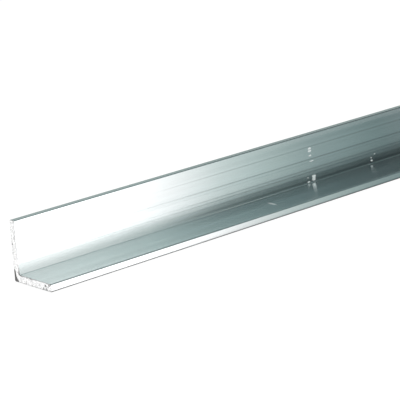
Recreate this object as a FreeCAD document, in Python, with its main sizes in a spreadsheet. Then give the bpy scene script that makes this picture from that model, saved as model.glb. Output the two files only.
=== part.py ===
import FreeCAD, Part
import math
import os
import Sketcher

# Extruded aluminium angle with equal legs, mill finish, sawn to a stock length.
# The flat leg lies on its outer face, and the upright leg stands behind it, on the +Y side.
# +X runs along the bar. The origin is under the middle of the flat leg, at mid-length. Millimetres.

NODE = "aluminium_angle"

DIMENSIONS = {
    "leg_height": 25.4,  # upright leg, from the base up to its toe: 1 in
    "leg_width": 25.4,  # flat leg, from the back face out to its toe: 1 in
    "wall": 3.175,  # thickness of both legs: 1/8 in
    "stock_length": 914.4,  # 36 in, a length that such stock is sold in
    "root_radius": 0.8,  # fillet in the inside corner
    "heel_radius": 0.6,  # round on the outside corner
    "toe_radius": 0.4,  # rounds on the two corners of each toe
    "end_break": 0.15,  # edge broken round each sawn end
}

# The section's sides, anticlockwise as seen from +X. Corner n is where side n begins.
SIDES = ("back", "upper_toe", "inner_wall", "ledge", "front_toe", "base")
LEVEL_SIDES = ("upper_toe", "ledge", "base")
HEEL = SIDES.index("back")
ROOT = SIDES.index("ledge")
TOE_CORNERS = [n for n in range(len(SIDES)) if n not in (HEEL, ROOT)]

# How a sketch constraint names the ends of a line or arc, its own X axis and its origin.
START, END = 1, 2
LEVEL_AXIS = -1
SKETCH_ORIGIN = (-1, 1)


def make_sheet(doc):
    """The driving dimensions, each in a cell that carries its name."""
    sheet = doc.addObject("Spreadsheet::Sheet", "Dimensions")
    for row, (name, value) in enumerate(DIMENSIONS.items(), start=1):
        sheet.set(f"A{row}", name)
        sheet.set(f"B{row}", str(value))
        sheet.setAlias(f"B{row}", name)
    doc.recompute()
    return sheet


def section_corners(sheet):
    """The sharp corners that the sides run between, as (across, up)."""
    back = sheet.leg_width / 2
    front = -back
    inner = back - sheet.wall
    places = [
        (back, 0),
        (back, sheet.leg_height),
        (inner, sheet.leg_height),
        (inner, sheet.wall),
        (front, sheet.wall),
        (front, 0),
    ]
    return [FreeCAD.Vector(across, up, 0) for across, up in places]


def corner_radii(sheet):
    """The round at each corner: heel, root and the four corners of the toes."""
    radii = [sheet.toe_radius for _ in SIDES]
    radii[HEEL] = sheet.heel_radius
    radii[ROOT] = sheet.root_radius
    return radii


def step_towards(start, goal, distance):
    """The point at the given distance from start on the way to goal."""
    return start + (goal - start).normalize() * distance


def corner_round(corner, before, after, radius, hollow):
    """The quarter circle at a corner. Sketch arcs run anticlockwise, so a hollow one begins at the far side."""
    arrive = step_towards(corner, before, radius)
    leave = step_towards(corner, after, radius)
    centre = arrive + leave - corner
    first = leave if hollow else arrive
    turn = math.atan2(first.y - centre.y, first.x - centre.x)
    circle = Part.Circle(centre, FreeCAD.Vector(0, 0, 1), radius)
    return Part.ArcOfCircle(circle, turn, turn + math.pi / 2)


def draw_section(sketch, sheet):
    """Six straight sides, numbered as in SIDES, and then the round at each corner in the same order."""
    corners = section_corners(sheet)
    radii = corner_radii(sheet)
    count = len(SIDES)
    for n in range(count):
        following = (n + 1) % count
        begin = step_towards(corners[n], corners[following], radii[n])
        end = step_towards(corners[following], corners[n], radii[following])
        sketch.addGeometry(Part.LineSegment(begin, end), False)
    for n in range(count):
        following = corners[(n + 1) % count]
        arc = corner_round(corners[n], corners[n - 1], following, radii[n], n == ROOT)
        sketch.addGeometry(arc, False)


def join_section(sketch):
    """Keeps the sides level or upright and tangent to the rounds, with the four toe rounds equal."""
    count = len(SIDES)
    for n, name in enumerate(SIDES):
        direction = "Horizontal" if name in LEVEL_SIDES else "Vertical"
        sketch.addConstraint(Sketcher.Constraint(direction, n))
    for n in range(count):
        arc = count + n
        arrive, leave = (END, START) if n == ROOT else (START, END)
        sketch.addConstraint(Sketcher.Constraint("Tangent", (n - 1) % count, END, arc, arrive))
        sketch.addConstraint(Sketcher.Constraint("Tangent", n, START, arc, leave))
    for n in TOE_CORNERS[1:]:
        sketch.addConstraint(Sketcher.Constraint("Equal", count + TOE_CORNERS[0], count + n))
    sketch.addConstraint(Sketcher.Constraint("PointOnObject", SIDES.index("base"), START, LEVEL_AXIS))


def size_section(sketch, sheet):
    """Binds every size of the section to its cell."""
    back, upper_toe, inner_wall, ledge, front_toe, base = range(len(SIDES))
    first_round = len(SIDES)

    def size(name, expression, *constraint):
        index = sketch.addConstraint(Sketcher.Constraint(*constraint))
        sketch.renameConstraint(index, name)
        sketch.setExpression(f"Constraints.{name}", f"{sheet.Name}.{expression}")

    size("leg_height", "leg_height", "DistanceY", base, END, upper_toe, START, sheet.leg_height)
    size("leg_width", "leg_width", "DistanceX", front_toe, START, back, START, sheet.leg_width)
    size("half_width", "leg_width / 2", "DistanceX", *SKETCH_ORIGIN, back, START, sheet.leg_width / 2)
    size("upright_wall", "wall", "DistanceX", inner_wall, START, back, END, sheet.wall)
    size("flat_wall", "wall", "DistanceY", base, START, ledge, END, sheet.wall)
    size("heel_radius", "heel_radius", "Radius", first_round + HEEL, sheet.heel_radius)
    size("root_radius", "root_radius", "Radius", first_round + ROOT, sheet.root_radius)
    size("toe_radius", "toe_radius", "Radius", first_round + TOE_CORNERS[0], sheet.toe_radius)


def add_section(body, sheet):
    """The section's sketch on the body's own YZ plane."""
    sketch = body.newObject("Sketcher::SketchObject", "Section")
    plane = next(feature for feature in body.Origin.OriginFeatures if feature.Role == "YZ_Plane")
    sketch.AttachmentSupport = [(plane, "")]
    sketch.MapMode = "FlatFace"
    draw_section(sketch, sheet)
    join_section(sketch)
    size_section(sketch, sheet)
    sketch.Document.recompute()
    if not sketch.FullyConstrained:
        raise RuntimeError("the section's sketch is not fully constrained")
    return sketch


def add_bar(body, sketch, sheet):
    """The section extruded both ways from mid-length."""
    bar = body.newObject("PartDesign::Pad", "Bar")
    bar.Profile = sketch
    bar.SideType = "Symmetric"
    bar.setExpression("Length", f"{sheet.Name}.stock_length")
    sketch.Visibility = False
    bar.Document.recompute()
    return bar


def add_end_breaks(body, bar, sheet):
    """The sharp edge taken off all round the two sawn ends, which are the faces furthest along X."""
    faces = bar.Shape.Faces
    along = sorted(range(len(faces)), key=lambda n: faces[n].CenterOfMass.x)
    breaks = body.newObject("PartDesign::Chamfer", "EndBreaks")
    breaks.Base = (bar, [f"Face{n + 1}" for n in (along[0], along[-1])])
    breaks.setExpression("Size", f"{sheet.Name}.end_break")
    breaks.Document.recompute()
    return breaks


def check_model(doc, body):
    """Stops the build where a feature has failed or the bar isn't one closed solid."""
    for thing in doc.Objects:
        if "Invalid" in thing.State or "Error" in thing.State:
            raise RuntimeError(f"{thing.Label} did not compute: {thing.State}")
        shape = getattr(thing, "Shape", None)
        if thing.isDerivedFrom("PartDesign::Feature") and (shape is None or shape.isNull()):
            raise RuntimeError(f"{thing.Label} has no shape")
        if shape is not None and not shape.isNull() and not shape.isValid():
            raise RuntimeError(f"{thing.Label} is not a valid shape")
    if len(body.Shape.Solids) != 1:
        raise RuntimeError(f"{body.Label} has {len(body.Shape.Solids)} solids")


doc = FreeCAD.newDocument("AluminiumAngle")
sheet = make_sheet(doc)
body = doc.addObject("PartDesign::Body", "Angle")
body.Label = NODE
section = add_section(body, sheet)
bar = add_bar(body, section, sheet)
body.Tip = add_end_breaks(body, bar, sheet)
doc.recompute()
check_model(doc, body)

os.makedirs("parts", exist_ok=True)
body.Shape.exportStep(f"parts/{NODE}.step")
box = body.Shape.BoundBox
print(f"{NODE}: {box.XLength:.2f} x {box.YLength:.2f} x {box.ZLength:.2f} mm, {body.Shape.Volume:.0f} mm3")
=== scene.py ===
# %% [markdown]
# # A length of aluminium angle
# The object is one bar of extruded angle: two equal legs that meet at a square corner, sawn off at both
# ends. Everything about its look comes from how it was made. The die leaves fine lines along the bar, the
# saw leaves bright, rough ends, and handling leaves a few nicks. This lesson loads the measured solid,
# models the bar again with that finish on it, and lights it as a plain studio shot.

# %% Load the measured solid
import math

import bmesh
import bpy
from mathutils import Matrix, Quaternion, Vector


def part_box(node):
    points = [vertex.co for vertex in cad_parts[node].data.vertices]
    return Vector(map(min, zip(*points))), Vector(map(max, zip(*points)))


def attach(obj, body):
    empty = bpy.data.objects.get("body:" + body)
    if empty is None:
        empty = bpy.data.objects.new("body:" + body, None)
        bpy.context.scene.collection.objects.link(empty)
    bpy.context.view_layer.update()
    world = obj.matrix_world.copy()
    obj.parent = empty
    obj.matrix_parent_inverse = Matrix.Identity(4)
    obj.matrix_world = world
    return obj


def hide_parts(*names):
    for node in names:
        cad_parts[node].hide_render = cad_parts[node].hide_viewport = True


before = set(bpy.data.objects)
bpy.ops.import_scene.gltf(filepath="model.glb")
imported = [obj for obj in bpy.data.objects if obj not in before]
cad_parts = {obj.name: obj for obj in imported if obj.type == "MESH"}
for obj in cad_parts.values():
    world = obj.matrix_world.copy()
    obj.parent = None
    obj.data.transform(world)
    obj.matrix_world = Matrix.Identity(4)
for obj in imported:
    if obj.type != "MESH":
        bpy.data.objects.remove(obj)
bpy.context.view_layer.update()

bpy.ops.object.select_all(action="DESELECT")
print("solid to dress:", sorted(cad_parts))

# %% [markdown]
# ## Sizes
# A photograph shows no size by itself, but the solid has one, so the bar's box is read from it. What a box
# can't tell is stated here once: the wall, the three radii of the section and the broken edge of the ends.
# The solid's root has a fillet of 0.8 mm. Here it is far tighter, because the photograph shows a crisp line
# there. Blender works in metres, so a millimetre gets a name.

# %% Sizes
MM = 0.001
low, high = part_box("aluminium_angle")
bar_length = high.x - low.x
leg_height = high.z - low.z
back, front = high.y, low.y

WALL = 3.175 * MM
ROOT_RADIUS = 0.15 * MM
HEEL_RADIUS = 0.6 * MM
TOE_RADIUS = 0.4 * MM
END_BREAK = 0.15 * MM
inner_wall = back - WALL
SAME_PLACE = 0.01 * MM
print(f"bar {bar_length / MM:.1f} mm long, legs {leg_height / MM:.2f} and {(back - front) / MM:.2f} mm")


def in_metres(places):
    """Places in millimetres, as Blender needs them."""
    return [place * MM for place in places]


# %% [markdown]
# ## Picking faces and edges in code
# By hand you would click the faces that a tool should act on. A script picks them by their place and the
# way they face, which also works when a size changes. Two small helpers do that for the whole lesson.

# %% Picking helpers
# A face looks along an axis when at least this share of its normal does.
SQUARE_ON = 0.999


def pick_faces(piece, test):
    """In edit mode, selects only the faces that pass the test."""
    bpy.ops.mesh.select_mode(type="FACE")
    mesh = bmesh.from_edit_mesh(piece.data)
    for face in mesh.faces:
        face.select_set(bool(test(face)))
    bmesh.update_edit_mesh(piece.data)


def pick_edges(piece, test):
    """In edit mode, selects only the edges that pass the test."""
    bpy.ops.mesh.select_mode(type="EDGE")
    mesh = bmesh.from_edit_mesh(piece.data)
    for edge in mesh.edges:
        edge.select_set(False)
    for edge in mesh.edges:
        if test(edge):
            edge.select_set(True)
    bmesh.update_edit_mesh(piece.data)


def near(a, b):
    """Whether two places on an axis are the same."""
    return abs(a - b) < SAME_PLACE


# %% [markdown]
# ## The blank
# An extrusion has one section all along, so the quick way is to start with the flat leg as a box, cut its
# top where the upright leg begins, and extrude that strip upwards. The blank is shorter than the bar by
# the broken edges, which are added with the sawn ends. Merging the coplanar faces leaves six clean sides.

# %% Model the blank
bpy.ops.mesh.primitive_cube_add(size=1, location=(0, (back + front) / 2, WALL / 2))
bar = bpy.context.object
bar.name = "extruded_angle"
bar.scale = (bar_length - 2 * END_BREAK, back - front, WALL)
bpy.ops.object.transform_apply(location=True, rotation=True, scale=True)

bpy.ops.object.mode_set(mode="EDIT")
bpy.ops.mesh.select_all(action="SELECT")
bpy.ops.mesh.bisect(plane_co=(0, inner_wall, 0), plane_no=(0, 1, 0))
pick_faces(bar, lambda face: face.normal.z > SQUARE_ON and face.calc_center_median().y > inner_wall)
bpy.ops.mesh.extrude_region_move(TRANSFORM_OT_translate={"value": (0, 0, leg_height - WALL)})
bpy.ops.mesh.select_all(action="SELECT")
bpy.ops.mesh.dissolve_limited(angle_limit=math.radians(1))
bpy.ops.object.mode_set(mode="OBJECT")
print("blank:", len(bar.data.polygons), "faces")

# %% [markdown]
# ## The rounds
# No die has a perfectly sharp corner, and a sharp corner catches no light, so each long edge gets its
# radius: a small one on the toes, a larger one on the heel, and the fillet in the root. The Bevel tool
# takes the edges at one corner at a time, because each kind has a radius of its own.

# %% Round the long edges
ROUND_STEPS = 8
corners = [
    ((back, 0), HEEL_RADIUS),
    ((inner_wall, WALL), ROOT_RADIUS),
    ((back, leg_height), TOE_RADIUS),
    ((inner_wall, leg_height), TOE_RADIUS),
    ((front, WALL), TOE_RADIUS),
    ((front, 0), TOE_RADIUS),
]


def runs_along(edge, across, up):
    """Whether an edge runs the length of the bar at one corner of the section."""
    return all(near(point.co.y, across) and near(point.co.z, up) for point in edge.verts)


bpy.ops.object.mode_set(mode="EDIT")
for (across, up), radius in corners:
    pick_edges(bar, lambda edge: runs_along(edge, across, up))
    bpy.ops.mesh.bevel(offset=radius, segments=ROUND_STEPS, affect="EDGES", clamp_overlap=False)
bpy.ops.object.mode_set(mode="OBJECT")
print("after rounding:", len(bar.data.polygons), "faces")

# %% [markdown]
# ## The die lines
# A nick in the die draws a fine line down the whole bar. A bump map could fake it, but a real groove keeps
# its shine from every side, and it costs a few long faces: three cuts along the leg, and the middle one
# pushed into the metal. Its edges are marked sharp, so that each flank stays a flat facet.

# %% Score the die lines
# Each line: the face it is on, its place across that face, its width and its depth, in millimetres.
DIE_LINES = [
    ("upright", 19.6, 0.5, 0.010),
    ("upright", 16.3, 0.4, 0.004),
    ("upright", 13.85, 0.5, 0.012),
    ("upright", 12.5, 0.4, 0.004),
    ("upright", 9.35, 0.5, 0.008),
    ("upright", 8.1, 0.5, 0.008),
    ("flat", -1.9, 0.5, 0.010),
    ("flat", 2.6, 0.6, 0.008),
    ("flat", -6.4, 0.5, 0.010),
    ("flat", 7.4, 0.5, 0.012),
    ("back", 20.8, 0.5, 0.018),
    ("back", 15.1, 0.6, 0.026),
    ("back", 6.7, 0.5, 0.014),
    ("base", 5.2, 0.5, 0.018),
    ("base", -3.7, 0.6, 0.022),
    ("base", -8.8, 0.4, 0.014),
]
# Each face: its outward normal, the axis that its lines are placed on, and where it lies on its normal.
LONG_FACES = {
    "upright": (Vector((0, -1, 0)), 2, -inner_wall),
    "flat": (Vector((0, 0, 1)), 1, WALL),
    "back": (Vector((0, 1, 0)), 2, back),
    "base": (Vector((0, 0, -1)), 1, 0),
}


def score(piece, face_name, place, width, depth):
    """Cuts one V groove of the given width and depth along a face."""
    normal, axis, level = LONG_FACES[face_name]
    cut = Vector((0, 0, 0))
    cut[axis] = 1

    def on_face(face):
        return face.normal.dot(normal) > SQUARE_ON and near(face.calc_center_median().dot(normal), level)

    cuts = (place - width / 2, place, place + width / 2)
    for where in cuts:
        pick_faces(piece, on_face)
        bpy.ops.mesh.bisect(plane_co=cut * where, plane_no=cut)

    def at(edge, where):
        return all(near(v.co[axis], where) and near(v.co.dot(normal), level) for v in edge.verts)

    pick_edges(piece, lambda edge: any(at(edge, where) for where in cuts))
    bpy.ops.mesh.mark_sharp()
    pick_edges(piece, lambda edge: at(edge, place))
    bpy.ops.transform.translate(value=-depth * normal)


bpy.ops.object.mode_set(mode="EDIT")
for face_name, place, width, depth in DIE_LINES:
    score(bar, face_name, place * MM, width * MM, depth * MM)
bpy.ops.object.mode_set(mode="OBJECT")
print(len(DIE_LINES), "die lines:", len(bar.data.polygons), "faces")

# %% [markdown]
# ## The leg thickens towards the root
# A die is worn and polished by hand, so an extruded face is never a true plane. Here the inner face of the
# upright leg leans out a little as it nears the root. It is only a few tenths of a millimetre, but a shiny
# face shows every change of slope. A few more long cuts give the face points to lean with.

# %% Lean the inner face out
# Each pair: a height on the upright leg, and how far its inner face stands out there, in millimetres.
THICKENING = [
    (13.4, 0.0),
    (12.2, 0.011),
    (11.0, 0.061),
    (9.9, 0.116),
    (8.7, 0.177),
    (6.9, 0.268),
    (5.9, 0.319),
    (4.9, 0.37),
    (3.325, 0.43),
]


def stands_out(up):
    """How far the inner face stands out at a height, in millimetres."""
    if up >= THICKENING[0][0]:
        return 0
    for (upper, less), (lower, more) in zip(THICKENING, THICKENING[1:]):
        if up >= lower:
            return less + (more - less) * (upper - up) / (upper - lower)
    return THICKENING[-1][1]


def on_inner_face(face):
    """Whether a face is on the inner face. The flanks of its die lines are too, so the test is loose."""
    return face.normal.y < -0.99 and abs(face.calc_center_median().y - inner_wall) < 0.1 * MM


bpy.ops.object.mode_set(mode="EDIT")
for height, _ in THICKENING[:-1]:
    pick_faces(bar, on_inner_face)
    bpy.ops.mesh.bisect(plane_co=(0, 0, height * MM), plane_no=(0, 0, 1))
mesh = bmesh.from_edit_mesh(bar.data)
for point in mesh.verts:
    if abs(point.co.y - inner_wall) < ROOT_RADIUS + SAME_PLACE and point.co.z > WALL - SAME_PLACE:
        point.co.y -= stands_out(point.co.z / MM) * MM
bmesh.update_edit_mesh(bar.data)
bpy.ops.object.mode_set(mode="OBJECT")
print("inner face stands out", stands_out(0), "mm at the root")

# %% [markdown]
# ## The sawn ends
# Stock is cut with a coarse circular saw, so an end is flat as a whole but scored by the teeth and torn in
# places. The end face is inset and pushed out by the broken edge, which gives a small chamfer all round.
# It is then cut into a fine net, so that the Displace modifier has points to move.

# %% Break the edges and net the ends
NET_PITCH = 0.2 * MM


def on_end(face):
    return abs(face.normal.x) > SQUARE_ON


def net_the_ends(piece, axis, lowest, highest):
    """Cuts both end faces along evenly spaced planes across one axis."""
    cut = Vector((0, 0, 0))
    cut[axis] = 1
    steps = round((highest - lowest) / NET_PITCH)
    for step in range(1, steps):
        pick_faces(piece, on_end)
        bpy.ops.mesh.bisect(plane_co=cut * (lowest + step * NET_PITCH), plane_no=cut)


bpy.ops.object.mode_set(mode="EDIT")
pick_faces(bar, on_end)
bpy.ops.mesh.inset(thickness=END_BREAK, depth=END_BREAK)
net_the_ends(bar, 1, front, back)
net_the_ends(bar, 2, 0, leg_height)
bpy.ops.object.mode_set(mode="OBJECT")
print("ends netted:", len(bar.data.polygons), "faces")

# %% [markdown]
# ## The marks of the saw
# A round blade leaves shallow arcs, as wide apart as it moved forward for each tooth. Displace can raise
# them from a procedural wood-ring texture: an empty stands for the blade's centre and its scale sets how
# far apart the rings are. A second, cloudy texture adds the small torn hollows. Both only press inwards,
# so the bar keeps its length.

# %% Press the saw marks in
NEAR_END, FAR_END = -bar_length / 2, bar_length / 2


def group_end(piece, name, place):
    """Puts the net of one end in a vertex group, without the rim that meets the chamfer."""
    group = piece.vertex_groups.new(name=name)
    rim = {v for edge in rim_edges(piece, place) for v in edge}
    inner = [v.index for v in piece.data.vertices if near(v.co.x, place) and v.index not in rim]
    group.add(inner, 1, "REPLACE")
    return len(inner)


def rim_edges(piece, place):
    """The edges where an end face meets its chamfer."""
    faces_at = {}
    for face in piece.data.polygons:
        flat = on_end(face) and near(face.center.x, place)
        for key in face.edge_keys:
            faces_at.setdefault(key, []).append(flat)
    return [key for key, sides in faces_at.items() if any(sides) and not all(sides)]


def press(piece, group, texture, depth, guide=None):
    """Presses a texture into one end along the bar, and applies it."""
    step = piece.modifiers.new(texture.name, "DISPLACE")
    step.texture = texture
    step.vertex_group = group
    step.direction = "X"
    step.mid_level = 0
    step.strength = depth
    step.texture_coords = "OBJECT" if guide else "LOCAL"
    step.texture_coords_object = guide
    bpy.context.view_layer.objects.active = piece
    bpy.ops.object.modifier_apply(modifier=step.name)


saw_arcs = bpy.data.textures.new("saw_arcs", "WOOD")
saw_arcs.wood_type = "RINGNOISE"
saw_arcs.noise_basis_2 = "SIN"
saw_arcs.turbulence = 1.5
saw_arcs.noise_scale = 0.5
torn_metal = bpy.data.textures.new("torn_metal", "CLOUDS")
torn_metal.noise_scale = 0.7 * MM
torn_metal.noise_depth = 2
torn_metal.contrast = 1.0

# Where the blade's centre was, across and up, how far it moved for each tooth, and how deep it marked.
BLADE_CENTRE = (-60 * MM, 105 * MM)
TOOTH_STEP = 0.9 * MM
SAW_DEPTH, TORN_DEPTH = 0.018 * MM, 0.03 * MM
# The wood texture draws this many rings in one unit of the empty that guides it.
RINGS_A_UNIT = 20 / (2 * math.pi)
for name, place, inwards in (("near_end", NEAR_END, 1), ("far_end", FAR_END, -1)):
    count = group_end(bar, name, place)
    bpy.ops.object.empty_add(location=(place, *BLADE_CENTRE))
    blade = bpy.context.object
    blade.scale = (TOOTH_STEP * RINGS_A_UNIT,) * 3
    bpy.context.view_layer.update()
    press(bar, name, saw_arcs, inwards * SAW_DEPTH, blade)
    press(bar, name, torn_metal, inwards * TORN_DEPTH)
    bpy.data.objects.remove(blade)
    print(name, "has", count, "points under the saw")

# %% [markdown]
# ## Torn spots
# Where a tooth caught, a crumb of metal is missing from the end, mostly along an edge. Each is a small
# dent: the points round a place are pushed in along the bar, the most at its middle. Proportional editing
# does this by hand, and in code the falloff is one line.

# %% Tear the spots out
# Each spot: its place across and up, its radius and its depth, in millimetres.
TORN_SPOTS = [
    (-7.1, 0.3, 0.45, 0.22),
    (-9.1, 0.6, 0.4, 0.25),
    (-10.5, 2.1, 0.5, 0.22),
    (-7.9, 1.5, 0.35, 0.12),
    (12.0, 15.4, 0.3, 0.10),
]


def tear(piece, place, inwards, across, up, radius, depth):
    """Pushes the end in round one place."""
    mesh = bmesh.from_edit_mesh(piece.data)
    for point in mesh.verts:
        from_middle = math.hypot(point.co.y - across, point.co.z - up) / radius
        if abs(point.co.x - place) < 2 * END_BREAK and from_middle < 1:
            point.co.x += inwards * depth * (1 - from_middle**2)
    bmesh.update_edit_mesh(piece.data)


bpy.ops.object.mode_set(mode="EDIT")
for across, up, radius, depth in TORN_SPOTS:
    tear(bar, NEAR_END, 1, across * MM, up * MM, radius * MM, depth * MM)
    tear(bar, FAR_END, -1, -across * MM, up * MM, radius * MM, depth * MM)
bpy.ops.mesh.select_all(action="SELECT")
bpy.ops.mesh.normals_make_consistent(inside=False)
bpy.ops.object.mode_set(mode="OBJECT")
triangles = sum(len(face.vertices) - 2 for face in bar.data.polygons)
print("bar:", len(bar.data.polygons), "faces,", triangles, "triangles")

# %% [markdown]
# ## Grime and painted shade on the end
# Shade is painted where the end meets the root and the heel and along its outlines, and handling leaves
# specks of grime. These marks have no depth, so they are painted. Each is a stroke across the end, and each
# point of the net keeps a number: how deep inside a stroke it lies. Below zero it is outside. The finish
# reads the number later and cuts the stroke's edge out of the slope between the points, so the edge is
# finer than the net.

# %% Paint the marks
# Each mark: how dark it is, how far it reaches on either side, and the places that it runs through, across
# and up, in millimetres. The first four, along the heel, the root and the flat leg's top edge, and the last
# three, along the outlines of the upright leg, are painted shade. The others are specks of grime.
END_MARKS = [
    (6.0, 1.25, [(12.7, 4.2), (12.6, 3.2), (12.4, 2.2), (12.1, 1.3), (11.5, 0.5), (11.0, 0.2)]),
    (0.9, 0.5, [(9.2, 5.9), (9.1, 5.1), (9.75, 4.2), (9.2, 3.35), (7.6, 2.85)]),
    (0.6, 0.4, [(7.6, 2.85), (5.3, 2.95), (1.8, 2.95), (-2.4, 2.92)]),
    (0.35, 0.35, [(-4.8, 2.9), (-9.5, 2.9)]),
    (0.5, 0.5, [(8.3, 0.4), (8.5, 1.9)]),
    (0.5, 0.5, [(4.8, 0.4), (4.1, 1.9)]),
    (0.6, 0.55, [(0.5, 0.2), (-0.2, 1.0), (0.4, 2.1)]),
    (0.5, 0.45, [(-4.2, 0.4), (-4.6, 1.8)]),
    (0.6, 0.45, [(-7.4, 1.2), (-7.6, 0.2)]),
    (1.3, 0.5, [(-8.8, 2.1), (-9.2, 1.8)]),
    (0.9, 0.5, [(-9.3, 1.2), (-9.8, 0.4)]),
    (1.3, 0.5, [(-11.0, 2.6), (-11.5, 2.4)]),
    (1.0, 0.45, [(-12.3, 2.9), (-12.2, 2.6)]),
    (1.2, 0.45, [(12.2, 15.5), (12.4, 15.2)]),
    (0.4, 0.8, [(12.3, 25.2), (12.5, 23.6)]),
    (0.5, 0.4, [(12.5, 22.5), (12.5, 4.5)]),
    (0.35, 0.35, [(9.85, 24.8), (9.6, 6.5)]),
]


def from_line(place, start, end):
    """How far a place on the end is from a straight piece of a stroke."""
    run = end - start
    share = max(0, min(1, (place - start).dot(run) / run.length_squared))
    return (place - start - run * share).length


def mark_depth(place):
    """How deep inside the marks a place lies: the darkness at a stroke's middle, 0 at its edge."""
    deepest = -1
    for dark, reach, stroke in END_MARKS:
        bends = [Vector(bend) for bend in stroke]
        away = min(from_line(place, *piece) for piece in zip(bends, bends[1:]))
        deepest = max(deepest, dark * (1 - away / reach))
    return deepest


# The far end's painted shade and grime are lighter: no mark there is darker than this.
FAR_END_DARKEST = 0.3

marks = bar.data.attributes.new("end_marks", "FLOAT", "POINT")
painted = 0
for point, mark in zip(bar.data.vertices, marks.data):
    depth = -1
    if abs(point.co.x) > bar_length / 2 - 2 * END_BREAK:
        depth = mark_depth(Vector((point.co.y, point.co.z)) / MM)
        depth = min(depth, FAR_END_DARKEST) if point.co.x > 0 else depth
    mark.value = depth
    painted += depth > 0
print("points under a mark:", painted)

# %% [markdown]
# ## Not quite square
# The stock shifted a little under the saw, so the end that faces the camera leans by about a millimetre
# from top to bottom, and by a little less from side to side. Its points move along the bar only, which
# keeps the long faces flat.

# %% Lean the near end
# How far a point moves along the bar for its height and for its place across.
LEANS_UP, LEANS_ACROSS = 0.0489, -0.03
# The broken edge and the deepest torn spot both lie within this much of the end.
END_ZONE = 0.46 * MM

bpy.ops.object.mode_set(mode="EDIT")
mesh = bmesh.from_edit_mesh(bar.data)
for point in mesh.verts:
    if point.co.x < NEAR_END + END_ZONE:
        point.co.x += LEANS_UP * point.co.z + LEANS_ACROSS * (point.co.y - back)
bmesh.update_edit_mesh(bar.data)
bpy.ops.object.mode_set(mode="OBJECT")
over_height, over_width = LEANS_UP * leg_height / MM, -LEANS_ACROSS * (back - front) / MM
print(f"near end leans {over_height:.2f} mm over its height and {over_width:.2f} mm over its width")

# %% [markdown]
# ## Smooth rounds and flat faces
# The rounds should shade as curves and the wide faces as planes. Shading smooth below a small angle does
# the first, and Weighted Normal does the second: at a shared edge it lets the larger face set the normal,
# so no face looks pillowed.

# %% Shade the bar
SMOOTH_BELOW = math.radians(32)

bpy.context.view_layer.objects.active = bar
bar.select_set(True)
bpy.ops.object.shade_smooth_by_angle(angle=SMOOTH_BELOW, keep_sharp_edges=True)
weigh = bar.modifiers.new("flat_faces_first", "WEIGHTED_NORMAL")
weigh.keep_sharp = True
weigh.weight = 80
bpy.ops.object.modifier_apply(modifier=weigh.name)
bpy.ops.object.select_all(action="DESELECT")
print("edges kept sharp:", sum(edge.use_edge_sharp for edge in bar.data.edges), "of", len(bar.data.edges))

# %% [markdown]
# ## Mill finish
# Bare extruded aluminium is a metal with a silky, directional shine. Its colour is a cool, light grey, and
# the die draws it out in streaks hundreds of millimetres long and a fraction of one wide. Noise on object
# coordinates that are stretched along the bar gives the streaks. The shine is wider across the lines than
# along them, which is what Anisotropic does once the tangent is set across the bar.

# %% Node helpers
def add_node(tree, kind, settings=None, **inputs):
    """Adds a node, sets its settings and plugs or fills its inputs, which are named with _ for spaces."""
    node = tree.nodes.new(kind)
    for name, value in (settings or {}).items():
        setattr(node, name, value)
    for name, value in inputs.items():
        socket = node.inputs[int(name[1:])] if name[1:].isdigit() else node.inputs[name.replace("_", " ")]
        if isinstance(value, bpy.types.NodeSocket):
            tree.links.new(value, socket)
        else:
            socket.default_value = value
    return node


def reckon(tree, operation, *values):
    """A Math node on numbers or outputs."""
    inputs = {f"i{n}": value for n, value in enumerate(values)}
    return add_node(tree, "ShaderNodeMath", {"operation": operation}, **inputs).outputs[0]


def remap(tree, value, low_in, high_in, low_out, high_out, smooth=False):
    """A Map Range node, clamped to its new ends."""
    kind = {"interpolation_type": "SMOOTHSTEP" if smooth else "LINEAR"}
    ends = {"From_Min": low_in, "From_Max": high_in, "To_Min": low_out, "To_Max": high_out}
    return add_node(tree, "ShaderNodeMapRange", kind, Value=value, **ends).outputs[0]


def swing(tree, noise, reach):
    """Noise, which mostly lies between 0.3 and 0.7, spread out between -reach and reach."""
    return remap(tree, noise, 0.3, 0.7, -reach, reach)


def streaks(tree, length, width, detail=2.0, shift=0.0):
    """Noise drawn out along the bar: features of the given length and width in metres."""
    place = tree.nodes.get("bar_coordinates")
    if place is None:
        place = add_node(tree, "ShaderNodeTexCoord")
        place.name = "bar_coordinates"
    stretch = {"Scale": (1 / length, 1 / width, 1 / width), "Location": (shift, shift, shift)}
    stretched = add_node(tree, "ShaderNodeMapping", Vector=place.outputs["Object"], **stretch)
    noise = add_node(tree, "ShaderNodeTexNoise", Vector=stretched.outputs[0], Scale=1.0, Detail=detail)
    return noise.outputs["Fac"]


def new_material(name):
    """A material without any nodes yet, and its node tree."""
    material = bpy.data.materials.new(name)
    material.use_nodes = True
    material.node_tree.nodes.clear()
    return material, material.node_tree


def blend_colours(tree, amount, first, second):
    """A colour Mix node. Its colour sockets are the seventh and eighth."""
    colours = {"data_type": "RGBA"}
    return add_node(tree, "ShaderNodeMix", colours, i0=amount, i6=first, i7=second).outputs[2]
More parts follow.
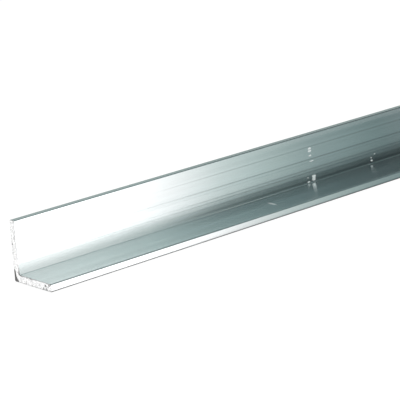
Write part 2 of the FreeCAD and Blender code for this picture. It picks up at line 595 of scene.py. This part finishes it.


# %% [markdown]
# ### Strips of tone and painted reflection, and nicks
# The die leaves the metal a shade duller or brighter in strips that run the whole length, and where the
# upright leg mirrors the flat leg, and at the edges, reflection and shade are painted on as strips too.
# They are far crisper than noise, so each is placed one by one: its middle, its reach, and how soft its
# edge is.
# Where the bar struck the stops of the run-out table it is nicked, and one scratch crosses the flat leg. A
# nick is a small oval with a ragged edge, and a number says how far the shine is gone there.

# %% Place the strips and nicks
# Each strip: its middle, how far it reaches on either side, how soft its edge is, and how much lighter it
# is at the near end and further along. These are placed by height, on the upright leg, in millimetres. The
# thin strips on the die lines are the lines' own tone. The wide ones low on the leg and the dark one at the
# top are painted reflection and shade: lighter at the near end, which mirrors bright light, and darker
# further along, which mirrors dark.
UPRIGHT_STRIPS = [
    (25.2, 0.35, 0.15, 0, -0.16),
    (21.7, 1.3, 0.6, 0, -0.04),
    (20.75, 0.6, 0.4, 0, 0.03),
    (19.65, 0.36, 0.28, 0, -0.2),
    (16.3, 0.3, 0.2, 0, -0.02),
    (15.4, 1.9, 1.0, 0.06, 0.06),
    (13.88, 0.42, 0.36, 0, -0.26),
    (13.05, 0.35, 0.25, 0, 0.04),
    (12.5, 0.35, 0.25, 0, -0.04),
    (11.0, 3.4, 1.8, 0.1, 0.02),
    (8.2, 2.2, 1.0, 0.05, -0.07),
    (9.43, 0.38, 0.34, 0, -0.19),
    (8.15, 0.38, 0.34, 0, -0.19),
    (5.3, 1.55, 0.3, 0, -0.24),
    (6.1, 1.0, 0.6, 0.05, 0),
    (4.1, 0.75, 0.2, 0, -0.17),
]
# The change from the one to the other lies between these two places along the bar.
STRIPS_CHANGE = (-395, -345)
# The same across the flat leg. The dark strips beside the root and at the front edge are painted reflection
# and shade.
FLAT_STRIPS = [
    (8.75, 0.45, 0.2, 0, -0.12),
    (8.2, 0.85, 0.2, 0.06, -0.36),
    (7.2, 1.6, 1.0, -0.06, 0),
    (6.2, 1.3, 0.7, 0, 0.13),
    (1.6, 3.2, 1.6, 0, -0.04),
    (1.0, 9.0, 6.0, -0.02, 0.065),
    (-2.7, 2.4, 1.6, 0, 0.07),
    (-2.9, 0.32, 0.3, 0, 0.1),
    (-7.5, 4.0, 2.5, -0.09, 0.04),
    (-11.3, 1.2, 0.8, 0, 0.12),
    (-12.2, 0.5, 0.2, -0.36, 0.08),
    (-12.75, 0.25, 0.1, -0.02, -0.12),
]
# Each nick: its place along the bar and its height, and how far it reaches each way.
UPRIGHT_NICKS = [
    (-299.8, 18.8, 1.1, 0.52),
    (-299.8, 17.65, 1.15, 0.55),
    (-299.8, 15.5, 1.0, 0.38),
    (-299.2, 12.9, 1.5, 0.3),
    (-298.8, 5.85, 1.45, 0.6),
    (-298.9, 5.0, 1.2, 0.6),
    (-299.0, 4.2, 1.45, 0.5),
    (-302.1, 3.85, 0.85, 0.4),
    (-302.4, 5.8, 0.4, 0.25),
    (-263.1, 4.6, 0.85, 0.45),
    (-263.2, 5.95, 0.4, 0.25),
    (-260.9, 7.3, 0.55, 0.22),
]
# The one scratch across the flat leg: its middle, and how far it reaches each way.
SCRATCH = ((-333.3, -1.8), 0.75, 3.4)
SCRATCH_SHARE = 0.5


def along(tree, split, stretch, before, after, smooth=False):
    """A number that changes from one value to another over a stretch of the bar's length."""
    return remap(tree, split["X"], *in_metres(stretch), before, after, smooth)


def strip_tone(tree, place, strips, further):
    """Sums the strips' shares, by how close a place on its axis is to each strip's middle."""
    tone = 0.0
    for middle, reach, edge, share_near, share_further in strips:
        share = remap(tree, further, 0, 1, share_near, share_further)
        away = reckon(tree, "ABSOLUTE", reckon(tree, "SUBTRACT", place, middle * MM))
        tone = reckon(tree, "ADD", tone, remap(tree, away, (reach - edge) * MM, reach * MM, share, 0))
    return tone


def inside(tree, coordinates, middle, reach, ragged):
    """1 inside an oval that reaches so far each way from its middle, and 0 outside."""
    oval = {"Location": middle, "Scale": reach}
    settings = {"vector_type": "TEXTURE"}
    centred = add_node(tree, "ShaderNodeMapping", settings, Vector=coordinates, **oval).outputs[0]
    away = add_node(tree, "ShaderNodeVectorMath", {"operation": "LENGTH"}, i0=centred).outputs["Value"]
    return remap(tree, reckon(tree, "ADD", away, ragged), 0.7, 1.0, 1, 0)


def nick_mask(tree, coordinates):
    """How far a place has lost its shine to a nick or to the scratch, with ragged edges."""
    ragged = swing(tree, streaks(tree, 0.5 * MM, 0.3 * MM, shift=2.0), 0.2)
    (place, across), half_width, half_length = SCRATCH
    middle, reach = (place * MM, across * MM, WALL), (half_width * MM, half_length * MM, MM)
    scratch = inside(tree, coordinates, middle, reach, ragged)
    mask = reckon(tree, "MULTIPLY", scratch, SCRATCH_SHARE)
    for place, up, half_length, rise in UPRIGHT_NICKS:
        middle, reach = (place * MM, inner_wall, up * MM), (half_length * MM, 3 * MM, rise * MM)
        mask = reckon(tree, "MAXIMUM", mask, inside(tree, coordinates, middle, reach, ragged))
    return mask


# %% [markdown]
# ### Matt places and the root's painted highlight
# A thin, paler line is painted down the root as the highlight that its fillet catches, and it is matt, so
# it scatters light. Handling has taken some of the shine off the top of the upright leg. A matt place
# scatters light from everywhere, which shows as pale on a metal that mirrors something dark.

# %% Place the root line and the matt top
# The root line, a painted highlight: its place across and up, how far from there it is full and where it
# ends, its colour, and how matt it is from one end to the other of a stretch of the bar. Places are in
# millimetres.
ROOT_LINE = (9.08, 3.2)
ROOT_LINE_REACH = (0.1, 0.18)
ROOT_HIGHLIGHT_COLOUR = (0.86, 0.95, 0.94, 1)
ROOT_LINE_STRETCH, ROOT_LINE_MATT = (-340, -285), (0.32, 0.13)
# The matt band at the top of the upright leg: its height, how far on either side it is full and where it
# ends, how matt it is, and the stretch of the bar over which it begins.
MATT_TOP = 24.2
MATT_TOP_REACH = (0.72, 1.2)
MATT_TOP_SHARE = 0.12
MATT_TOP_STRETCH = (-350, -325)


def root_highlight_mask(tree, split, further):
    """1 on the painted highlight down the root and 0 beside it. The line begins a little way from the near
    end.
    """
    here = add_node(tree, "ShaderNodeCombineXYZ", Y=split["Y"], Z=split["Z"]).outputs[0]
    line = (0, *in_metres(ROOT_LINE))
    distance = {"operation": "DISTANCE"}
    away = add_node(tree, "ShaderNodeVectorMath", distance, i0=here, i1=line).outputs["Value"]
    line_share = remap(tree, away, *in_metres(ROOT_LINE_REACH), 1, 0)
    return reckon(tree, "MULTIPLY", line_share, further)


def top_mattness(tree, split):
    """How matt the band at the top of the upright leg is."""
    away = reckon(tree, "ABSOLUTE", reckon(tree, "SUBTRACT", split["Z"], MATT_TOP * MM))
    band = remap(tree, away, *in_metres(MATT_TOP_REACH), MATT_TOP_SHARE, 0)
    return reckon(tree, "MULTIPLY", band, along(tree, split, MATT_TOP_STRETCH, 0, 1))


# %% [markdown]
# ### The mill finish as a whole
# Colour comes first: streaks between a pale and a dull tone, then the strips of tone and painted
# reflection, the nicks and the root's painted highlight over them. Where the metal is matt, it is made a
# little less metallic, which lets it scatter light. Fine ridges that are too small to model go in as a
# Bump.

# %% Mix the mill finish
PALE_METAL, DULL_METAL = (0.805, 0.845, 0.845, 1), (0.745, 0.79, 0.79, 1)
NICK_COLOUR, NICK_MATT = (0.86, 0.93, 0.92, 1), 0.9
SMOOTHEST, ROUGHEST = 0.17, 0.205
RIDGE_HEIGHT = 0.006 * MM


def streaked_metal(tree, broad, fine, cloud):
    """The metal's own colour, between dull and pale."""
    tone = reckon(tree, "ADD", swing(tree, broad, 0.35), swing(tree, fine, 0.4))
    tone = reckon(tree, "ADD", tone, swing(tree, cloud, 0.25))
    return blend_colours(tree, remap(tree, tone, -0.8, 0.8, 0, 1), DULL_METAL, PALE_METAL)


def tone_and_painted_reflection(tree, colour, split, further):
    """The colour made lighter or darker by the strips of both legs: their own tone, and painted reflection
    and shade.
    """
    upright_tone = strip_tone(tree, split["Z"], UPRIGHT_STRIPS, further)
    flat_tone = strip_tone(tree, split["Y"], FLAT_STRIPS, further)
    tone = reckon(tree, "ADD", 1.0, reckon(tree, "ADD", upright_tone, flat_tone))
    scale = {"operation": "SCALE"}
    return add_node(tree, "ShaderNodeVectorMath", scale, i0=colour, Scale=tone).outputs[0]


def across_the_lines(tree):
    """The direction on the surface that is square to the die lines."""
    normal = add_node(tree, "ShaderNodeNewGeometry").outputs["Normal"]
    cross = {"operation": "CROSS_PRODUCT"}
    return add_node(tree, "ShaderNodeVectorMath", cross, i0=normal, i1=(1, 0, 0)).outputs[0]


def mill_finish():
    material, tree = new_material("mill_finish")
    broad = streaks(tree, 600 * MM, 3.2 * MM)
    fine = streaks(tree, 300 * MM, 0.45 * MM, 3.0, shift=7.0)
    cloud = streaks(tree, 22 * MM, 9 * MM, 3.0, shift=3.0)
    coordinates = tree.nodes["bar_coordinates"].outputs["Object"]
    split = add_node(tree, "ShaderNodeSeparateXYZ", Vector=coordinates).outputs
    further = along(tree, split, STRIPS_CHANGE, 0, 1, smooth=True)
    nicked = nick_mask(tree, coordinates)
    on_root = root_highlight_mask(tree, split, further)

    colour = tone_and_painted_reflection(tree, streaked_metal(tree, broad, fine, cloud), split, further)
    colour = blend_colours(tree, nicked, colour, NICK_COLOUR)
    colour = blend_colours(tree, on_root, colour, ROOT_HIGHLIGHT_COLOUR)

    root_mattness = along(tree, split, ROOT_LINE_STRETCH, *ROOT_LINE_MATT)
    matt = reckon(tree, "MULTIPLY", on_root, root_mattness)
    matt = reckon(tree, "MAXIMUM", matt, top_mattness(tree, split))
    matt = reckon(tree, "MAXIMUM", matt, reckon(tree, "MULTIPLY", nicked, NICK_MATT))

    rough = remap(tree, reckon(tree, "ADD", fine, cloud), 0.7, 1.3, SMOOTHEST, ROUGHEST)
    ridges = streaks(tree, 600 * MM, 0.22 * MM, shift=11.0)
    height = reckon(tree, "ADD", ridges, reckon(tree, "MULTIPLY", broad, 2.0))
    relief = add_node(tree, "ShaderNodeBump", Height=height, Strength=0.25, Distance=RIDGE_HEIGHT)
    metal = add_node(
        tree,
        "ShaderNodeBsdfPrincipled",
        Base_Color=colour,
        Metallic=reckon(tree, "SUBTRACT", 1.0, matt),
        Roughness=rough,
        Anisotropic=0.9,
        Tangent=across_the_lines(tree),
        Normal=relief.outputs[0],
    )
    add_node(tree, "ShaderNodeOutputMaterial", Surface=metal.outputs[0])
    return material


mill = mill_finish()
print("mill finish:", len(mill.node_tree.nodes), "nodes")

# %% [markdown]
# ### The sawn finish
# A sawn end is the same metal, but rough all over, so its shine is soft and has no direction. The painted
# strokes of shade and grime are read here. A ragged noise is added to them before they are cut off, which
# frays their edges, and a finer noise strews specks of grime between them.

# %% Mix the sawn finish
PALE_SAWN, DULL_SAWN = (0.88, 0.90, 0.90, 1), (0.80, 0.83, 0.83, 1)
# The dark of the grime, and of the shade painted at the end's heel, root and outlines.
GRIME_AND_SHADE = (0.05, 0.05, 0.05, 1)
GRAIN_HEIGHT = 0.01 * MM


def grime_and_shade_share(tree):
    """How much painted shade and grime cover a place: the painted strokes with frayed edges, and specks."""
    painted = add_node(tree, "ShaderNodeAttribute", {"attribute_name": "end_marks"}).outputs["Fac"]
    ragged = swing(tree, streaks(tree, 0.7 * MM, 0.7 * MM, 3.0, shift=9.0), 0.4)
    strokes = remap(tree, reckon(tree, "ADD", painted, ragged), 0.04, 0.7, 0, 0.96)
    specks = streaks(tree, 0.5 * MM, 0.42 * MM, 3.0, shift=13.0)
    return reckon(tree, "MAXIMUM", strokes, remap(tree, specks, 0.42, 0.6, 0.1, 0.58))


def sawn_finish():
    material, tree = new_material("sawn_finish")
    grain = streaks(tree, 1 * MM, 0.25 * MM, 3.0)
    patch = streaks(tree, 1 * MM, 2.2 * MM, shift=5.0)
    colour = blend_colours(tree, remap(tree, grain, 0.35, 0.65, 0, 1), DULL_SAWN, PALE_SAWN)
    colour = blend_colours(tree, grime_and_shade_share(tree), colour, GRIME_AND_SHADE)
    rough = remap(tree, patch, 0.35, 0.65, 0.38, 0.5)
    relief = add_node(tree, "ShaderNodeBump", Height=grain, Strength=0.3, Distance=GRAIN_HEIGHT)
    metal = add_node(
        tree,
        "ShaderNodeBsdfPrincipled",
        Base_Color=colour,
        Metallic=1.0,
        Roughness=rough,
        Normal=relief.outputs[0],
    )
    add_node(tree, "ShaderNodeOutputMaterial", Surface=metal.outputs[0])
    return material


sawn = sawn_finish()
print("sawn finish:", len(sawn.node_tree.nodes), "nodes")

# %% [markdown]
# ### Which face has which finish
# All faces begin with the first material, the mill finish. The ends get the second. The broken edge round
# an end slopes at 45 degrees and is as rough as the end itself, so the test is loose enough to take it in.

# %% Give the bar its finishes
END_SLOPE = 0.6


def sawn_off(face):
    """Whether a face is at one end of the bar and looks along it, at least at a slant."""
    return abs(face.center.x) > bar_length / 2 - 2 * MM and abs(face.normal.x) > END_SLOPE


bar.data.materials.append(mill)
bar.data.materials.append(sawn)
end_faces = [face for face in bar.data.polygons if sawn_off(face)]
for face in end_faces:
    face.material_index = 1
print("sawn faces:", len(end_faces))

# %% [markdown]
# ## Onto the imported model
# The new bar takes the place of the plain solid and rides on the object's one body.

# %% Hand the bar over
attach(bar, "root")
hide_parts("aluminium_angle")

# %% [markdown]
# ## Two viewers
# A bare metal looks like what it reflects, so the light is set for two viewers. The camera sees plain white
# paper, and the metal sees a table and a room with tones of their own. The Light Path node tells the two
# apart. A Color Ramp holds the tones, and since its colours stop at 1, they are kept as shares of the
# brightest one and the shader's strength brings them back.

# %% Helpers for the light
def dimmed(tint, brightest):
    """A tint as a share of the brightest."""
    return (*(channel / brightest for channel in tint), 1)


def gradient(tree, name, share, start, end, tones, brightest):
    """A Color Ramp over tones, each with its place between start and end."""
    ramp = add_node(tree, "ShaderNodeValToRGB", Fac=share)
    ramp.name = name
    stops = ramp.color_ramp.elements
    while len(stops) < len(tones):
        stops.new(0.5)
    for stop, (place, tint) in zip(stops, tones):
        stop.position = (place - start) / (end - start)
        stop.color = dimmed(tint, brightest)
    return ramp.outputs[0]


def by_viewer(tree, plain, seen_directly, seen_in_metal):
    """One shader for the camera, one for what metal mirrors, and a plain one for everything else."""
    ray = add_node(tree, "ShaderNodeLightPath").outputs
    mirrored = reckon(tree, "MAXIMUM", ray["Is Glossy Ray"], ray["Is Transmission Ray"])
    direct = {"i0": ray["Is Camera Ray"], "i1": plain.outputs[0], "i2": seen_directly.outputs[0]}
    first = add_node(tree, "ShaderNodeMixShader", **direct)
    both = {"i0": mirrored, "i1": first.outputs[0], "i2": seen_in_metal.outputs[0]}
    return add_node(tree, "ShaderNodeMixShader", **both).outputs[0]


# %% [markdown]
# ## The table
# The upright leg looks down at the table in front, so the table is lit brightly at one end and falls off
# towards the other, as a table beside a window does. Behind the bar it is evenly lit. Right beside the bar
# it is a little shaded, and under it, it is dark, which draws a thin dark line along the bar's lower edge.
# The camera itself sees paper that glows nearly white, and takes just enough light to show a soft shadow.

# %% Lay the table
# Each row: a place along the fall of the light, in millimetres, and the table's tone there.
FALLOFF = [
    (-449, (2.06, 2.00, 2.00)),
    (-345, (2.06, 2.00, 2.00)),
    (-325, (1.72, 1.70, 1.71)),
    (-308, (1.42, 1.38, 1.39)),
    (-292, (1.11, 1.13, 1.13)),
    (-276, (0.78, 0.86, 0.85)),
    (-260, (0.59, 0.69, 0.68)),
    (-244, (0.45, 0.55, 0.54)),
    (-228, (0.34, 0.43, 0.43)),
    (-212, (0.28, 0.37, 0.37)),
    (-192, (0.20, 0.28, 0.28)),
    (-165, (0.23, 0.28, 0.29)),
    (-120, (0.34, 0.36, 0.36)),
    (-40, (0.46, 0.46, 0.46)),
    (49, (0.55, 0.55, 0.55)),
]
BRIGHTEST = 2.06
# The light falls off in one direction on the table: so much of it is along the bar, and so much across.
FALLS_ALONG, FALLS_ACROSS = 0.801, 0.599
# Behind the bar: the tone, and the stretches across and along in which it takes over, in millimetres.
BEHIND = (0.62, 0.64, 0.64)
BEHIND_ACROSS, BEHIND_ALONG = (15, 50), (-475, -460)
# Under the bar and beside it: how much light is left, and the stretch past the bar in which it grows back,
# in millimetres. Past the bar's end there is no dark line.
UNDER, UNDER_REACH = 0.02, (0.8, 1.6)
BESIDE, BESIDE_REACH = 0.95, (0, 9)
END_REACH = (0, 0.1)
# The paper that the camera sees: how much light it takes, and how brightly it glows.
PAPER_TAKES, PAPER_GLOWS = (0.22, 0.22, 0.22, 1), 0.82
TABLE_SIZE = 12


def light_by_the_bar(tree, split):
    """How much of its light the table keeps under the bar and right beside it."""
    past_end = reckon(tree, "SUBTRACT", reckon(tree, "ABSOLUTE", split["X"]), bar_length / 2)
    past_side = reckon(tree, "SUBTRACT", reckon(tree, "ABSOLUTE", split["Y"]), back)
    under = remap(tree, past_side, *in_metres(UNDER_REACH), UNDER, 1)
    under = reckon(tree, "MAXIMUM", under, remap(tree, past_end, *in_metres(END_REACH), 0, 1))
    past = reckon(tree, "MAXIMUM", past_end, past_side)
    beside = remap(tree, past, *in_metres(BESIDE_REACH), BESIDE, 1, smooth=True)
    return reckon(tree, "MULTIPLY", under, beside)


def table_tone(tree, split):
    """The table's tone as metal sees it: the falloff in front, and an even tone behind the bar."""
    fall_along = reckon(tree, "MULTIPLY", split["X"], FALLS_ALONG)
    fall = reckon(tree, "ADD", fall_along, reckon(tree, "MULTIPLY", split["Y"], FALLS_ACROSS))
    start, end = FALLOFF[0][0], FALLOFF[-1][0]
    share = remap(tree, fall, *in_metres((start, end)), 0, 1)
    in_front = gradient(tree, "falloff", share, start, end, FALLOFF, BRIGHTEST)
    behind = remap(tree, split["Y"], *in_metres(BEHIND_ACROSS), 0, 1)
    behind = reckon(tree, "MULTIPLY", behind, along(tree, split, BEHIND_ALONG, 0, 1))
    return blend_colours(tree, behind, in_front, dimmed(BEHIND, BRIGHTEST))


def table_paper():
    material, tree = new_material("lit_paper")
    place = add_node(tree, "ShaderNodeTexCoord").outputs["Object"]
    split = add_node(tree, "ShaderNodeSeparateXYZ", Vector=place).outputs
    light = reckon(tree, "MULTIPLY", light_by_the_bar(tree, split), BRIGHTEST)
    seen_in_metal = add_node(tree, "ShaderNodeEmission", Color=table_tone(tree, split), Strength=light)
    paper = add_node(tree, "ShaderNodeBsdfDiffuse", Color=PAPER_TAKES)
    glow = add_node(tree, "ShaderNodeEmission", Color=(1, 1, 1, 1), Strength=PAPER_GLOWS)
    seen_directly = add_node(tree, "ShaderNodeAddShader", i0=paper.outputs[0], i1=glow.outputs[0])
    plain = add_node(tree, "ShaderNodeBsdfDiffuse", Color=(0.8, 0.8, 0.8, 1))
    surface = by_viewer(tree, plain, seen_directly, seen_in_metal)
    add_node(tree, "ShaderNodeOutputMaterial", Surface=surface)
    return material


bpy.ops.mesh.primitive_plane_add(size=TABLE_SIZE, location=(0, 0, 0))
table = bpy.context.object
table.name = "table"
table.data.materials.append(table_paper())
print("table:", TABLE_SIZE, "m wide, with", len(FALLOFF), "tones")

# %% [markdown]
# ## The room
# The flat leg looks up, past the upright leg, into the room. The room is bright where the window is and
# darker to the right of it and above it, with a pale ceiling right overhead. All of this is only what metal
# sees. Everything else gets an even, plain light and the soft shadow of a lamp, which isn't mirrored.

# %% Light the room
# Each row: a direction, in degrees from straight in front towards the far end, and the tones of the lower
# and the upper wall there. The ceiling has one tone for each direction.
WALLS = [
    (-60, (0.71, 0.71, 0.71), (0.71, 0.71, 0.71)),
    (0, (1.02, 1.01, 1.01), (0.99, 0.98, 0.99)),
    (20, (1.29, 1.25, 1.25), (1.21, 1.20, 1.20)),
    (27, (1.39, 1.34, 1.33), (1.35, 1.34, 1.34)),
    (31, (1.16, 1.13, 1.12), (1.24, 1.27, 1.26)),
    (34, (0.51, 0.54, 0.53), (1.13, 1.24, 1.22)),
    (37, (0.01, 0.01, 0.01), (0.65, 0.84, 0.83)),
    (40, (0.01, 0.01, 0.01), (0.28, 0.43, 0.44)),
    (44, (0.01, 0.01, 0.01), (0.07, 0.11, 0.12)),
    (52, (0.09, 0.09, 0.09), (0.05, 0.05, 0.05)),
    (70, (0.22, 0.23, 0.23), (0.19, 0.19, 0.19)),
    (110, (0.37, 0.40, 0.39), (0.34, 0.38, 0.37)),
    (143, (0.40, 0.47, 0.47), (0.35, 0.44, 0.42)),
    (175, (0.51, 0.54, 0.54), (0.50, 0.53, 0.52)),
]
CEILING = [
    (-60, (0.60, 0.60, 0.60)),
    (5, (0.50, 0.51, 0.51)),
    (35, (0.08, 0.14, 0.15)),
    (104, (0.08, 0.14, 0.15)),
    (122, (0.44, 0.47, 0.47)),
    (179, (0.58, 0.59, 0.59)),
]
OVERHEAD = (0.70, 0.71, 0.71)
BRIGHTEST_WALL = 1.4
# How steeply up each tone turns into the next, from and to, as the sine of the angle.
LOWER_TO_UPPER, UPPER_TO_CEILING, CEILING_TO_OVERHEAD = (0.14, 0.36), (0.42, 0.66), (0.9, 0.98)
# How bright the room is for everything that isn't metal, and for the camera.
PLAIN_LIGHT, WHITE = 0.9, 1.0
# The lamp, in metres and watts.
LAMP_PLACE, LAMP_SIZE, LAMP_POWER = (-0.9, 0.1, 1.6), 2.0, 7.0


def room_tone(tree):
    """The room's tone as metal sees it, by direction and height."""
    ahead = add_node(tree, "ShaderNodeTexCoord").outputs["Generated"]
    split = add_node(tree, "ShaderNodeSeparateXYZ", Vector=ahead).outputs
    turn = reckon(tree, "ARCTAN2", split["X"], reckon(tree, "MULTIPLY", split["Y"], -1.0))
    turned = remap(tree, turn, -math.pi, math.pi, 0, 1)

    def all_round(name, tones):
        return gradient(tree, name, turned, -180, 180, tones, BRIGHTEST_WALL)

    lower_walls = all_round("low_walls", [(degrees, lower) for degrees, lower, _ in WALLS])
    upper_walls = all_round("high_walls", [(degrees, upper) for degrees, _, upper in WALLS])
    up = remap(tree, split["Z"], *LOWER_TO_UPPER, 0, 1)
    walls = blend_colours(tree, up, lower_walls, upper_walls)
    up = remap(tree, split["Z"], *UPPER_TO_CEILING, 0, 1, smooth=True)
    walls_and_ceiling = blend_colours(tree, up, walls, all_round("ceiling", CEILING))
    up = remap(tree, split["Z"], *CEILING_TO_OVERHEAD, 0, 1)
    return blend_colours(tree, up, walls_and_ceiling, dimmed(OVERHEAD, BRIGHTEST_WALL))


def room():
    world = bpy.data.worlds.new("studio_room")
    world.use_nodes = True
    tree = world.node_tree
    tree.nodes.clear()
    seen_in_metal = add_node(tree, "ShaderNodeBackground", Color=room_tone(tree), Strength=BRIGHTEST_WALL)
    plain = add_node(tree, "ShaderNodeBackground", Color=(1, 1, 1, 1), Strength=PLAIN_LIGHT)
    white = add_node(tree, "ShaderNodeBackground", Color=(1, 1, 1, 1), Strength=WHITE)
    surface = by_viewer(tree, plain, white, seen_in_metal)
    add_node(tree, "ShaderNodeOutputWorld", Surface=surface)
    return world


bpy.context.scene.world = room()
bpy.ops.object.light_add(type="AREA", location=LAMP_PLACE)
lamp = bpy.context.object
lamp.name = "overhead_softbox"
lamp.data.shape = "DISK"
lamp.data.size = LAMP_SIZE
lamp.data.energy = LAMP_POWER
lamp.visible_glossy = False
print("room:", len(WALLS), "wall tones all round and", len(CEILING), "on the ceiling")

# %% [markdown]
# ## The camera
# The view of the photograph: close to one end, from the left of the open side, a little down and with the
# camera rolled, so that the bar's end stands upright in the picture. A long lens keeps the legs parallel.

# %% Set the camera
SENSOR_WIDTH = 36
LENS = 156.331
LOOKS_AT = Vector((-363.545, 9.525, 10.792)) * MM
DISTANCE = 743.361 * MM
HEADING, DOWN, ROLL = math.radians(36.6565), math.radians(15.1509), math.radians(6.1662)

forward = Vector((math.sin(HEADING) * math.cos(DOWN), math.cos(HEADING) * math.cos(DOWN), -math.sin(DOWN)))
bpy.ops.object.camera_add(location=LOOKS_AT - forward * DISTANCE)
camera = bpy.context.object
camera.name = "photo_camera"
camera.rotation_mode = "QUATERNION"
camera.rotation_quaternion = forward.to_track_quat("-Z", "Y") @ Quaternion((0, 0, 1), -ROLL)
camera.data.lens = LENS
camera.data.sensor_width = SENSOR_WIDTH
bpy.context.scene.camera = camera
bpy.context.scene.view_settings.view_transform = "Standard"
print(f"camera {DISTANCE / MM:.0f} mm away, through a {LENS:.0f} mm lens")
